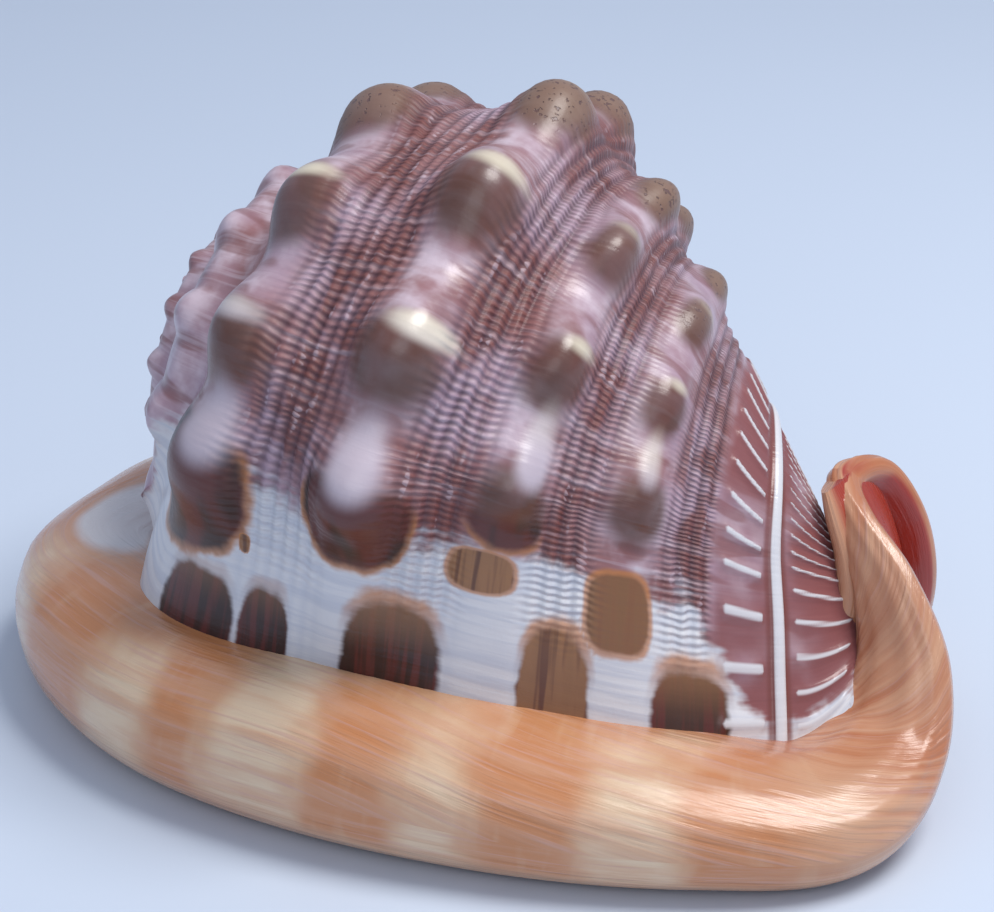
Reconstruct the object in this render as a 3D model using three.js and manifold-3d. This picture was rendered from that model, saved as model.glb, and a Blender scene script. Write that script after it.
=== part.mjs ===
// Bullmouth helmet shell: one thick sea-snail shell, lying on its opening.
// Millimetres, +Z up, +X toward the siphonal canal, -Y toward the thick outer lip.
// The origin is under the middle of the shell, on the plane it rests on.
import * as THREE from "three";
import Module from "manifold-3d";

const wasm = await Module();
wasm.setup();

const ORIGIN_SHIFT = [-2.95, 7.8]; // brings the middle of the shell over the origin

// ---- coiling ----
const AXIS_HEIGHT = 38.5; // height of the coiling axis over the resting plane
const AXIS_DIP = 12; // degrees the canal end of the axis dips
const AXIS_YAW = 2.5; // degrees the axis is turned in plan
const WHORL_GROWTH = 1.75; // radius ratio from one turn to the next
const OPENING_START = 286; // degrees round where the radius starts back up to the lip
const OPENING_END = 335;
const BODY_FROM = -70; // degrees: the last whorl runs from under the lip, over the top,
const BODY_TO = 290; // to the opening
// Outline of the last whorl at the lip, from the apex to the canal end: along the axis, radius.
const PROFILE = [
  [-55, 0],
  [-52, 12],
  [-44, 25],
  [-35, 35],
  [-24, 49],
  [-11, 56],
  [2, 56.5],
  [14, 49],
  [26, 42],
  [38, 34],
  [49, 25],
  [57, 16],
  [62, 8],
  [63.5, 0],
];
// The whorl slants forward as it coils back: millimetres of lead per half turn.
const REAR_LEAD = { size: 3, from: -55, to: -35 };
const FRONT_LEAD = { size: 22, from: -5, to: 62 };

// ---- foot of the last whorl, where its side runs out on to the lip ----
const FLARE_FROM = 22; // degrees where the side leaves the round and runs down to the lip
const FLARE_TO = -32;
const FLARE_PULL = 0.6; // how long the side keeps to the round
const FLARE_LANDING = new THREE.Vector3(0, -0.25, -0.4); // the way it runs on to the lip
const FLARE_FULL = [-41, -28]; // along the axis: the spire has no foot, the whorl has all of it
// In plan the foot is a rounded outline with a short rear half and a long front half.
const FOOT = { middle: -14, depth: 53, rear: 45.5, front: 84, roundness: 2.2 };
const FOOT_SPREAD = { rear: 15.5, rearTo: -14, front: 5, frontFrom: -5, frontTo: 45 };
const TIP_SPREAD = { less: 3.5, from: 53, to: 63.5 };
const FOOT_HEIGHT = { side: 16, front: 7, rear: 24, canal: 17 };
// Where its height goes from one to the next, along X.
const FOOT_CHANGE = { front: [5, 58], rear: [-57, -35], canal: [60, 68] };

// ---- knobs ----
const FIRST_KNOB = 16; // degrees over the top, from the lip
const KNOB_PITCH = { atLip: 23.5, gain: 3.5, behind: 30 }; // the knobs crowd toward the lip
const KNOBS = 9;
// Each row: place along the axis, slant of its knobs round the coil, height, half length along
// the coil, half length along the axis.
const KNOB_ROWS = [
  { x: -24.5, slant: -9.5, height: 6.2, along: 7.5, across: 6.5 },
  { x: -1.5, slant: -4, height: 6.6, along: 7.5, across: 7 },
  { x: 17, slant: 5, height: 4.6, along: 6.5, across: 5.5 },
  { x: 33.5, slant: 11, height: 2.4, along: 5.5, across: 4 },
];
const KNOB_FADE = [262, 285]; // degrees: the knobs sink before the opening
const SHOULDER = { x: -34, radius: 36 };
const SPIRE_STEP = 0.11; // how far each earlier whorl stands out, of its own radius
const SPIRE_KNOB = 0.07;
const SPIRE_KNOB_PITCH = 30;

// ---- outer lip, rear skirt, shield edge and canal walls: one closed roll ----
// Each station: place in plan, lift off the resting plane, outward direction (3 numbers), half
// width outward, half thickness.
const ROLL = [
  [55, 1.5, 38, 0.45, 0, 0.89, 2.2, 2.6],
  [59, -4.5, 34.5, 0.6, 0, 0.8, 3.4, 2.2],
  [65, -8.5, 27.5, 0.85, -0.1, 0.5, 5.2, 2.6],
  [69.3, -12.5, 17, 0.96, -0.25, 0.1, 7.6, 3.6],
  [69.6, -20, 6, 0.95, -0.35, 0, 9.8, 5.4],
  [64.5, -33.5, 0, 0.8, -0.6, 0, 13, 7.6],
  [50, -42.5, 0, 0.4, -0.9, 0, 14, 8.8],
  [27, -49.5, 0, 0.15, -1, 0, 14.5, 10.4],
  [0, -52, 0, 0, -1, 0, 15, 12],
  [-26, -48.5, 0, -0.25, -1, 0, 15, 12],
  [-46, -38, 0, -0.6, -0.8, 0, 14.5, 12],
  [-58, -24, 0, -0.9, -0.5, 0, 13.5, 11.5],
  [-58, -5, 0, -1, 0, 0, 15, 11.5],
  [-54, 11, 0, -0.9, 0.45, 0, 17, 10.5],
  [-41, 25, 0, -0.6, 0.8, 0, 18, 9],
  [-21, 31.5, 0, -0.25, 1, 0, 19, 7.5],
  [4, 31.5, 0, 0, 1, 0, 19.5, 7],
  [29, 28, 0, 0.35, 0.95, 0, 19, 7],
  [47, 18, 0, 0.6, 0.8, 0, 17, 8],
  [57, 12, 9, 0.9, 0.4, 0, 9, 5],
  [61, 11.2, 21, 0.95, 0.1, 0.2, 6, 2.6],
  [60, 10.4, 30, 0.8, 0.1, 0.6, 5, 2],
  [57.4, 8, 37, 0.5, 0.1, 0.85, 3.6, 2],
];
const ROLL_SQUARENESS = 0.86; // below 1 the section is fuller than an ellipse
const ROLL_REST = 0.875; // height of its middle, of its half thickness, so that it rests on a flat
const ALONG_STEP = 0.004; // short step for directions along a path
// ---- neck that carries the canal floor: one tapering sweep ----
// Each station: centre, half width across, half thickness.
const NECK = [
  [6, -2, 9, 5, 4],
  [22, -1, 10.5, 12, 7],
  [38, 0, 12.5, 14, 8.2],
  [48, 0, 14.5, 13.5, 8.2],
  [55.5, 0, 18.5, 12, 6.8],
  [59.5, 0.5, 25, 10.5, 4.6],
  [58.6, 1, 32, 9.5, 3.4],
  [56, 1.5, 38, 8.5, 2.8],
  [54.2, 1.5, 41.6, 7, 1.8],
];
// ---- plate of shell that closes the underside between the lip and the shield ----
// Rings from its lower middle out to the roll and back: reach outward, height.
const PLATE = [
  [0, 2.2],
  [0.6, 1.8],
  [1, 0.6],
  [1, 8],
  [0.8, 16],
  [0.52, 26],
  [0, 32],
];
const PLATE_CENTRE = [-4, -4];
const PLATE_FRONT = 52;
const PLATE_RISE = { height: 9, from: 36, to: 52 }; // its front bends up into the canal floor
const PLATE_LEAST = 2; // thickness at its front edge
const INSIDE_FLOOR = 3; // hidden surfaces stay this far above the resting plane
// ---- opening ----
// Each station: along X, lip side, columella side, top.
const SLOT = [
  [-51, -25.5, -24, 7],
  [-46, -32.5, -24.5, 9],
  [-36, -38, -25.5, 16],
  [-22, -41, -27, 24],
  [0, -41.5, -27.5, 26],
  [22, -37.5, -23.5, 25],
  [38, -30.5, -16, 22],
  [49, -22, -7, 17],
  [57, -13.5, 0.5, 13],
  [64, -9, 5, 12],
];
const TOOTH_COUNT = 23;
const TOOTH_DEPTH = 1.7;
const TOOTHED_LENGTH = 112;
const TOOTH_FADE = { rear: [0.03, 0.12], front: [0.8, 0.92] }; // shares of the opening's length
const WALL = 5.5; // wall left between the hollow and the outside
const HOLLOW = { from: -58, to: 205, rear: -38, front: 46, core: 0.34, lipLimit: -43 };

const BODY_ROUND = 70;
const BODY_ALONG = 34;
const ROLL_LONG = 84;
const ROLL_ROUND = 12;

const rad = THREE.MathUtils.degToRad;
const smooth = THREE.MathUtils.smoothstep;
const lerp = THREE.MathUtils.lerp;

// Smooth interpolation through rows of numbers; a closed table runs round.
function sampler(rows, closed = false) {
  const n = rows.length;
  const at = (k) => (closed ? rows[(k + n) % n] : rows[Math.min(Math.max(k, 0), n - 1)]);
  return (t) => {
    const s = closed ? (((t % 1) + 1) % 1) * n : Math.min(Math.max(t, 0), 1) * (n - 1);
    const k = closed ? Math.floor(s) : Math.min(Math.floor(s), n - 2);
    const w = s - k;
    return rows[0].map((_, c) => {
      const [p, a, b, q] = [at(k - 1)[c], at(k)[c], at(k + 1)[c], at(k + 2)[c]];
      return (
        a + 0.5 * w * (b - p + w * (2 * p - 5 * a + 4 * b - q + w * (3 * (a - b) + q - p)))
      );
    });
  };
}

// A closed surface as a manifold solid, faces out. u runs round and meets itself; v runs from a
// pole to a pole, or meets itself too when ring is true.
function solidOf(surface, round, along, ring = false) {
  const points = [];
  const put = (u, v) => points.push(...surface(u, v, new THREE.Vector3()).toArray());
  const rows = ring ? along : along - 1;
  for (let j = 0; j < rows; j++) {
    for (let i = 0; i < round; i++) put(i / round, (ring ? j : j + 1) / along);
  }
  const at = (i, j) => (j % rows) * round + (i % round);
  const triangles = [];
  for (let j = 0; j < (ring ? rows : rows - 1); j++) {
    for (let i = 0; i < round; i++) {
      const [a, b, c, d] = [at(i, j), at(i + 1, j), at(i + 1, j + 1), at(i, j + 1)];
      triangles.push(a, b, c, a, c, d);
    }
  }
  if (!ring) {
    const first = points.length / 3;
    put(0, 0);
    put(0, 1);
    for (let i = 0; i < round; i++) {
      triangles.push(first, at(i + 1, 0), at(i, 0));
      triangles.push(first + 1, at(i, rows - 1), at(i + 1, rows - 1));
    }
  }
  const vertProperties = new Float32Array(points);
  const make = (list) =>
    new wasm.Manifold(
      new wasm.Mesh({ numProp: 3, vertProperties, triVerts: new Uint32Array(list) }),
    );
  const made = make(triangles);
  return made.volume() > 0 ? made : make(triangles.reverse());
}

// Degrees of coil behind the lip; it runs back to the lip across the opening.
const coiled = (deg) => {
  const round = deg < OPENING_END - 360 ? deg + 360 : deg;
  return round - 360 * smooth(round, OPENING_START, OPENING_END);
};
const growth = (deg) => WHORL_GROWTH ** (-coiled(deg) / 360);

// From the coil's own frame (along its axis, radius, degrees) to the shell's frame.
function place(x, radius, deg, target) {
  target.set(x, -radius * Math.cos(rad(deg)), radius * Math.sin(rad(deg)));
  target.applyAxisAngle(new THREE.Vector3(0, 0, 1), rad(AXIS_YAW));
  target.applyAxisAngle(new THREE.Vector3(0, 1, 0), rad(AXIS_DIP));
  target.z += AXIS_HEIGHT;
  return target;
}

const profile = sampler(PROFILE);
const leadAt = (x) =>
  REAR_LEAD.size * smooth(x, REAR_LEAD.from, REAR_LEAD.to) +
  FRONT_LEAD.size * smooth(x, FRONT_LEAD.from, FRONT_LEAD.to);

// Degrees of each knob from the lip back: the pitch opens out to an even one.
const knobAngles = [];
for (let k = 0, angle = FIRST_KNOB; k < KNOBS; k++) {
  knobAngles.push(angle);
  angle += Math.min(KNOB_PITCH.atLip + KNOB_PITCH.gain * k, KNOB_PITCH.behind);
}

function knobLift(x, radius, deg) {
  let lift = 0;
  for (const row of KNOB_ROWS) {
    const along = (x - row.x) / row.across;
    if (Math.abs(along) > 2.5) continue;
    for (const angle of knobAngles) {
      const arc = (rad(deg - angle - row.slant) * radius) / row.along;
      lift += row.height * Math.exp(-(arc * arc + along * along));
    }
  }
  return lift;
}

// Earlier whorls on the spire: a step at each suture, small knobs on each shoulder.
function spireLift(radius, deg) {
  const shoulder = SHOULDER.radius;
  const turns = Math.log(shoulder / Math.max(radius, 2)) / Math.log(WHORL_GROWTH) - deg / 360;
  const part = turns - Math.floor(turns);
  const bulge = smooth(part, 0, 0.35) * (1 - smooth(part, 0.35, 1));
  const knob = Math.max(0, Math.cos(rad((deg * 360) / SPIRE_KNOB_PITCH)));
  const fade = (1 - smooth(radius / (shoulder * growth(deg)), 0.85, 1.05)) * smooth(radius, 2, 7);
  return fade * radius * (SPIRE_STEP * bulge + SPIRE_KNOB * bulge * knob);
}

// The foot that belongs to a place along the axis.
function footAt(x) {
  const back = FOOT_SPREAD.rear * (1 - smooth(x, FLARE_FULL[0], FOOT_SPREAD.rearTo));
  const spread = smooth(x, FOOT_SPREAD.frontFrom, FOOT_SPREAD.frontTo);
  const ahead = FOOT_SPREAD.front * spread - TIP_SPREAD.less * smooth(x, TIP_SPREAD.from, TIP_SPREAD.to);
  const footX = x - back + ahead;
  const reach = footX < FOOT.middle ? FOOT.rear : FOOT.front;
  const share = Math.min(Math.abs(footX - FOOT.middle) / reach, 1);
  const y = -FOOT.depth * (1 - share ** FOOT.roundness) ** (1 / FOOT.roundness);
  const { side, front, rear, canal } = FOOT_HEIGHT;
  let z = lerp(side, front, smooth(footX, ...FOOT_CHANGE.front));
  z += (rear - side) * (1 - smooth(footX, ...FOOT_CHANGE.rear));
  z += (canal - front) * smooth(footX, ...FOOT_CHANGE.canal);
  return new THREE.Vector3(footX, y, z);
}

// A point of the smooth last whorl, before knobs.
function bodyBase(v, deg, target) {
  const [x, lipRadius] = profile(v);
  const radius = Math.max(lipRadius, 0) * growth(deg);
  return place(x - (leadAt(x) * coiled(deg)) / 180, radius, deg, target);
}

// The side of the whorl flares down to its foot on the lip, then turns in under the shell.
function flaredBase(v, deg, target) {
  const [x] = profile(v);
  const share = smooth(x, ...FLARE_FULL);
  bodyBase(v, deg, target);
  if (deg >= FLARE_FROM || share === 0) return target;
  const end = footAt(x);
  const bent = new THREE.Vector3();
  if (deg > FLARE_TO) {
    const span = FLARE_FROM - FLARE_TO;
    const w = (FLARE_FROM - deg) / span;
    const start = bodyBase(v, FLARE_FROM, new THREE.Vector3());
    const pull = bodyBase(v, FLARE_FROM - 1, new THREE.Vector3()).sub(start);
    const land = FLARE_LANDING.clone().multiplyScalar(start.distanceTo(end));
    const [w2, w3] = [w * w, w * w * w];
    bent.addScaledVector(start, 2 * w3 - 3 * w2 + 1);
    bent.addScaledVector(pull, (w3 - 2 * w2 + w) * span * FLARE_PULL);
    bent.addScaledVector(end, 3 * w2 - 2 * w3);
    bent.addScaledVector(land, w3 - w2);
  } else {
    const w = (FLARE_TO - deg) / (FLARE_TO - BODY_FROM);
    const under = bodyBase(v, BODY_FROM, new THREE.Vector3());
    bent.copy(end).lerp(under, w);
  }
  return target.lerp(bent, share);
}

function bodySurface(u, v, target) {
  const deg = lerp(BODY_FROM, BODY_TO, u);
  if (v === 0 || v === 1) return place(profile(v)[0], 0, 0, target);
  const [x, lipRadius] = profile(v);
  const [xa, ra] = profile(Math.max(v - ALONG_STEP, 0));
  const [xb, rb] = profile(Math.min(v + ALONG_STEP, 1));
  const radius = Math.max(lipRadius, 0) * growth(deg);
  const tangent = new THREE.Vector2(xb - xa, (rb - ra) * growth(deg)).normalize();
  const knob = knobLift(x, radius, deg) * (1 - smooth(deg, KNOB_FADE[0], KNOB_FADE[1]));
  const lift = knob + (x < SHOULDER.x + 4 ? spireLift(radius, deg) : 0);
  const normal = place(-tangent.y * lift, tangent.x * lift, deg, new THREE.Vector3());
  normal.z -= AXIS_HEIGHT;
  flaredBase(v, deg, target).add(normal);
  return target.setZ(Math.max(target.z, INSIDE_FLOOR));
}

const roll = sampler(ROLL, true);

function rollCentre(v) {
  const [x, y, lift, , , , , thick] = roll(v);
  return new THREE.Vector3(x, y, lift + ROLL_REST * thick);
}

function rollSurface(u, v, target) {
  const [x, y, lift, ox, oy, oz, wide, thick] = roll(v);
  const z = lift + ROLL_REST * thick;
  const tangent = rollCentre(v + ALONG_STEP).sub(rollCentre(v - ALONG_STEP)).normalize();
  const out = new THREE.Vector3(ox, oy, oz);
  out.addScaledVector(tangent, -out.dot(tangent)).normalize();
  const up = new THREE.Vector3().crossVectors(out, tangent);
  const full = (w) => Math.sign(w) * Math.abs(w) ** ROLL_SQUARENESS;
  const angle = u * 2 * Math.PI;
  target.set(x, y, z);
  target.addScaledVector(out, wide * full(Math.cos(angle)));
  target.addScaledVector(up, thick * full(Math.sin(angle)));
  return target.setZ(Math.max(target.z, 0));
}

const neck = sampler(NECK);

function neckSurface(u, v, target) {
  const [x, y, z, wide, thick] = neck(v);
  const ahead = neck(Math.min(v + 0.01, 1));
  const behind = neck(Math.max(v - 0.01, 0));
  const along = new THREE.Vector2(ahead[0] - behind[0], ahead[2] - behind[2]).normalize();
  const angle = u * 2 * Math.PI;
  const size = v === 0 || v === 1 ? 0 : 1;
  const up = thick * Math.sin(angle) * size;
  target.set(x - along.y * up, y + wide * Math.cos(angle) * size, z + along.x * up);
  return target.setZ(Math.max(target.z, INSIDE_FLOOR));
}

function plateSurface(u, v, target) {
  const [x, y] = roll(u);
  const [reach, height] = PLATE[Math.round(v * (PLATE.length - 1))];
  target.set(Math.min(x, PLATE_FRONT), y, 0).lerp(new THREE.Vector3(...PLATE_CENTRE, 0), 1 - reach);
  const rise = PLATE_RISE.height * smooth(target.x, PLATE_RISE.from, PLATE_RISE.to);
  return target.setZ(Math.max(height, v < 0.5 ? rise : rise + PLATE_LEAST));
}

const slot = sampler(SLOT);

// The narrow opening: its lip side is scalloped by the teeth, its ends are closed.
function slotSurface(u, v, target) {
  const t = Math.min(Math.max((v - 0.02) / 0.96, 0), 1);
  const [x, lipSide, innerSide, top] = slot(t);
  const [x0] = SLOT[0];
  const phase = ((x - x0) / TOOTHED_LENGTH) * TOOTH_COUNT * 2 * Math.PI;
  const fade = smooth(t, ...TOOTH_FADE.rear) * (1 - smooth(t, ...TOOTH_FADE.front));
  const bite = TOOTH_DEPTH * (0.5 - 0.5 * Math.cos(phase)) * fade;
  const corners = [
    [lipSide - 1.5, -4, 0],
    [lipSide, 0, 0.4],
    [lipSide, Math.min(7, top - 2), 1],
    [lipSide - 1, top, 0],
    [innerSide + 1, top, 0],
    [innerSide, Math.min(7, top - 2), -0.5],
    [innerSide, 0, -0.2],
    [innerSide + 1.5, -4, 0],
  ];
  const k = Math.round(u * corners.length) % corners.length;
  const [y, z, toothed] = corners[k];
  if (v === 0 || v === 1) return target.set(x, (lipSide + innerSide) / 2, top / 2 - 2);
  return target.set(x, y + toothed * bite, z);
}

// The hollow inside the last whorl, a crescent round the columella.
function hollowSurface(u, v, target) {
  const x = lerp(HOLLOW.rear, HOLLOW.front, v);
  const t = profileAt(x);
  const [, lipRadius] = profile(t);
  const half = u < 0.5;
  const w = half ? u * 2 : (1 - u) * 2;
  const round = Math.sqrt(Math.max(1 - (2 * v - 1) ** 4, 0));
  const deg = lerp(HOLLOW.from, HOLLOW.to, 0.5 + (w - 0.5) * round);
  const outer = lipRadius * growth(deg) - WALL;
  const pinch = round * Math.sqrt(Math.max(1 - (2 * w - 1) ** 4, 0));
  const middle = lerp(outer, lipRadius * HOLLOW.core, 0.5);
  const reach = ((outer - lipRadius * HOLLOW.core) / 2) * pinch;
  place(x - (leadAt(x) * coiled(deg)) / 180, half ? middle + reach : middle - reach, deg, target);
  return target.setY(Math.max(target.y, HOLLOW.lipLimit));
}

function profileAt(x) {
  let low = 0;
  let high = 1;
  for (let i = 0; i < 30; i++) {
    const mid = (low + high) / 2;
    if (profile(mid)[0] < x) low = mid;
    else high = mid;
  }
  return low;
}

const body = solidOf(bodySurface, BODY_ROUND, BODY_ALONG);
const rollSolid = solidOf(rollSurface, ROLL_ROUND, ROLL_LONG, true);
const neckSolid = solidOf(neckSurface, 16, 20);
const plateSolid = solidOf(plateSurface, 42, PLATE.length - 1);
const slotSolid = solidOf(slotSurface, 8, 72);
const hollowSolid = solidOf(hollowSurface, 28, 12);
const whole = body.add(rollSolid).add(neckSolid).add(plateSolid).subtract(slotSolid.add(hollowSolid));

function geometryOf(solid) {
  const { vertProperties, triVerts } = solid.getMesh();
  const geometry = new THREE.BufferGeometry();
  geometry.setAttribute("position", new THREE.BufferAttribute(vertProperties, 3));
  geometry.setIndex(new THREE.BufferAttribute(triVerts, 1));
  return geometry;
}

const material = new THREE.MeshStandardMaterial({ color: 0xc08a6c, roughness: 0.35, metalness: 0 });
const shell = new THREE.Mesh(geometryOf(whole), material);
shell.name = "helmet_shell";
shell.position.set(ORIGIN_SHIFT[0], ORIGIN_SHIFT[1], 0);
const group = new THREE.Group();
group.add(shell);
export default group;
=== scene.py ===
"""A bullmouth helmet shell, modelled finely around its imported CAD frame."""
import math

import bpy
import numpy as np
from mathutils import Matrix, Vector, noise


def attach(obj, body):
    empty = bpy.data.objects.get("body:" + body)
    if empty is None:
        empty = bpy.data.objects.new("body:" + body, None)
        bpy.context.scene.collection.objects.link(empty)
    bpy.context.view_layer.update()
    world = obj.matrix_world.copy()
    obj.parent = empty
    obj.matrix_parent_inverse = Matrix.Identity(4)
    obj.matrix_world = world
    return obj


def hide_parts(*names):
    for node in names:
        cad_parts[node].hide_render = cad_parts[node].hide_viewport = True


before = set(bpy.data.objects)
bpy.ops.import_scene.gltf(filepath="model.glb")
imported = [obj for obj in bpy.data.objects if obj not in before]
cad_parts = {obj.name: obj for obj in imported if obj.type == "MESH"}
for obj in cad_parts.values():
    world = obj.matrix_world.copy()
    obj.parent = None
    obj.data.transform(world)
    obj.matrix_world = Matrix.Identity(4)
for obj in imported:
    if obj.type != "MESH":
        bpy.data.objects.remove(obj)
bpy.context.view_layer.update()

MM = 0.001
ORIGIN_SHIFT = np.array([-2.95, 7.8, 0.0])

# ---- camera ----
CAMERA_AIM = Vector((-2.05, 4.7, 35.8)) * MM
CAMERA_AZIMUTH = math.radians(25.2)
CAMERA_ELEVATION = math.radians(24.6)
CAMERA_DISTANCE = 426 * MM
CAMERA_LENS = 100.65


def make_camera():
    level = math.cos(CAMERA_ELEVATION)
    back = Vector((
        math.sin(CAMERA_AZIMUTH) * level,
        -math.cos(CAMERA_AZIMUTH) * level,
        math.sin(CAMERA_ELEVATION),
    ))
    data = bpy.data.cameras.new("camera")
    data.lens = CAMERA_LENS
    data.sensor_width = 36
    data.clip_start = 0.01
    camera = bpy.data.objects.new("camera", data)
    camera.location = CAMERA_AIM + back * CAMERA_DISTANCE
    camera.rotation_euler = back.to_track_quat("Z", "Y").to_euler()
    bpy.context.scene.collection.objects.link(camera)
    bpy.context.scene.camera = camera


make_camera()

# ---- coiling, as in the CAD ----
AXIS_HEIGHT = 38.5
AXIS_DIP = math.radians(12)
AXIS_YAW = math.radians(2.5)
WHORL_GROWTH = 1.75
OPENING_START = 286
OPENING_END = 335
BODY_FROM = -70
BODY_TO = 290
PROFILE = [
    (-55, 0), (-52, 12), (-44, 25), (-35, 35), (-24, 49), (-11, 56), (2, 56.5),
    (14, 49), (26, 42), (38, 34), (49, 25), (57, 16), (62, 8), (63.5, 0),
]
REAR_LEAD = (3, -55, -35)
FRONT_LEAD = (22, -5, 62)

# ---- foot of the last whorl ----
FLARE_FROM = 22
FLARE_TO = -32
FLARE_PULL = 0.6
FLARE_LANDING = np.array([0, -0.25, -0.4])
FLARE_FULL = (-41, -28)
FOOT_MIDDLE = -14
FOOT_DEPTH = 53
FOOT_REAR = 45.5
FOOT_FRONT = 84
FOOT_ROUNDNESS = 2.2
FOOT_HEIGHT = 16
FOOT_SPREAD_REAR = 15.5
# These changes come in smoothly: how much, from and to along the shell.
FOOT_SPREAD_FRONT = (5, -5, 45)
TIP_SPREAD = (3.5, 53, 63.5)
FOOT_DROP_FRONT = (9, 5, 58)
FOOT_RISE_REAR = (8, -57, -35)
FOOT_RISE_CANAL = (10, 60, 68)

# ---- knobs ----
FIRST_KNOB = 16
KNOB_PITCHES = (23.5, 27, 30)
KNOBS = 9
KNOBS_END = (262, 285)
# Place along the axis, slant round the coil, height, half lengths round and along the shell.
KNOB_ROWS = [
    (-24.5, -9.5, 6.4, 7.5, 6.3),
    (-1.5, -4, 6.8, 7.8, 6.6),
    (17, 5, 4.8, 6.5, 5.2),
    (33.5, 11, 2.6, 5.5, 3.8),
]
KNOB_UPPER_REACH = 1.2
KNOB_FALL = 1.1
CAP_ROUNDNESS = 2.2
# The dark cap and the light core of a knob, in shares of its half lengths: the cap's shift
# down and half lengths, the core's shift up and half lengths, how far the core's ends turn
# down, and how much its upper side is drawn out. The knobs next to the lip bear a crescent.
# The light core is partly the shell's pale colour and partly a painted highlight on the knob's
# upper side.
CRESCENT_CAP = {
    "back": 0.42, "tall": 1.3, "wide": 1.2,
    "ahead": 0.62, "deep": 0.7, "narrow": 0.6, "bow": 0.035, "past": 0.5,
}
OVAL_CAP = {
    "back": 0.36, "tall": 1.0, "wide": 1.1,
    "ahead": 0.3, "deep": 0.3, "narrow": 0.8, "bow": 0, "past": 0,
}
SHOULDER = (-34, 36)
SPIRE_BULGE_AT = 0.35
SPIRE_STEP = 0.11
SPIRE_KNOB = 0.07
SPIRE_KNOB_PITCH = 30

# ---- fine sculpture, by place along the axis ----
KEEL_HEIGHT = 0.9
KEEL_HALF = 4.6
KEEL_FULL_KNOB = 5  # a row of lower knobs than this has a lower keel
UPPER_START = (-30, -5)  # keels come in over these degrees
UNEVENNESS = 0.35
CORD_PITCH = 2.3
CORD_HEIGHT = 0.2
CORDS_FROM = -31
CORDS_TO = 45
LINE_AT = 52.7
LINE_HALF = 0.7
LINE_HEIGHT = 0.75
LINE_START = (-30, -22)
CORD_FADE = (0.85, -4, 12)  # share lost below the knobs, from and to in degrees below level
RIBS = [(45.2, 51.4, 10, 0.6), (54, 62.6, 6.6, 0.42)]  # from, to, pitch in degrees, height
RIB_HALF = 0.16
RIB_LEAN = (-1.3, -15, 60)
RIBS_START = (-29, -24)
# Dark marks above the lip: place along the axis, half width, degrees, half height, tan share.
BLOTCHES = [
    (-22.8, 4.8, -22, 13.5, 0), (-14, 4.3, -21, 13, 0), (5.2, 7.3, -21, 17, 0),
    (25.6, 4.8, -21, 19, 0.8), (42, 5.4, -23, 19, 0.1),
    (32.7, 4.2, 1.5, 7.6, 0.1), (15.4, 4.4, 3.4, 3.8, 1), (-18, 0.8, -3.5, 1.6, 1),
]
BLOTCH_ROUNDNESS = 3.2
# The pale zone above the lip: its upper edge in degrees, that edge's drop towards the canal,
# how softly it ends, and where it starts at the rear.
PALE_EDGE = 7
PALE_EDGE_DROP = (22, 40, 52)
PALE_SOFTNESS = 26
PALE_REAR = (-46, -33)

# ---- lip, skirt, shield edge and canal walls, as in the CAD ----
# The roll's stations: place (x, y, base height), direction outward (x, y, z), half width and
# half thickness.
ROLL = [
    (55, 1.5, 38, 0.45, 0, 0.89, 2.2, 2.6),
    (59, -4.5, 34.5, 0.6, 0, 0.8, 3.4, 2.2),
    (65, -8.5, 27.5, 0.85, -0.1, 0.5, 5.2, 2.6),
    (69.3, -12.5, 17, 0.96, -0.25, 0.1, 7.6, 3.6),
    (69.6, -20, 6, 0.95, -0.35, 0, 9.8, 5.4),
    (64.5, -33.5, 0, 0.8, -0.6, 0, 13, 7.6),
    (50, -42.5, 0, 0.4, -0.9, 0, 14, 8.8),
    (27, -49.5, 0, 0.15, -1, 0, 14.5, 10.4),
    (0, -52, 0, 0, -1, 0, 15, 12),
    (-26, -48.5, 0, -0.25, -1, 0, 15, 12),
    (-46, -38, 0, -0.6, -0.8, 0, 14.5, 12),
    (-58, -24, 0, -0.9, -0.5, 0, 13.5, 11.5),
    (-58, -5, 0, -1, 0, 0, 15, 11.5),
    (-54, 11, 0, -0.9, 0.45, 0, 17, 10.5),
    (-41, 25, 0, -0.6, 0.8, 0, 18, 9),
    (-21, 31.5, 0, -0.25, 1, 0, 19, 7.5),
    (4, 31.5, 0, 0, 1, 0, 19.5, 7),
    (29, 28, 0, 0.35, 0.95, 0, 19, 7),
    (47, 18, 0, 0.6, 0.8, 0, 17, 8),
    (57, 12, 9, 0.9, 0.4, 0, 9, 5),
    (61, 11.2, 21, 0.95, 0.1, 0.2, 6, 2.6),
    (60, 10.4, 30, 0.8, 0.1, 0.6, 5, 2),
    (57.4, 8, 37, 0.5, 0.1, 0.85, 3.6, 2),
]
ROLL_SQUARENESS = 0.86
ROLL_REST = 0.875
CANAL_WALL_END = (4.2, 6.2)  # stations at which the walls turn into lip and shield edge
CANAL_WALL_START = (18.2, 19.6)
LIP_RIDGES = 11
CANAL_MIDDLE = (64, -0.4, 23)  # place along X, its change with height, and height
LIP_BAND_AT = 6
LIP_BAND_PITCH = 24
STAIN_STATION = (11.1, 0.6)  # dark patch on the lip: middle and half length, in stations
STAIN_ROUND = (0.72, 0.05)  # and in turns round the roll
# The canal floor's stations: place (x, y, z), half width and half thickness.
NECK = [
    (6, -2, 9, 5, 4), (22, -1, 10.5, 12, 7), (38, 0, 12.5, 14, 8.2), (48, 0, 14.5, 13.5, 8.2),
    (55.5, 0, 18.5, 12, 6.8), (59.5, 0.5, 25, 10.5, 4.6), (58.6, 1, 32, 9.5, 3.4),
    (56, 1.5, 38, 8.5, 2.8), (54.2, 1.5, 41.6, 7, 1.8),
]
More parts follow.
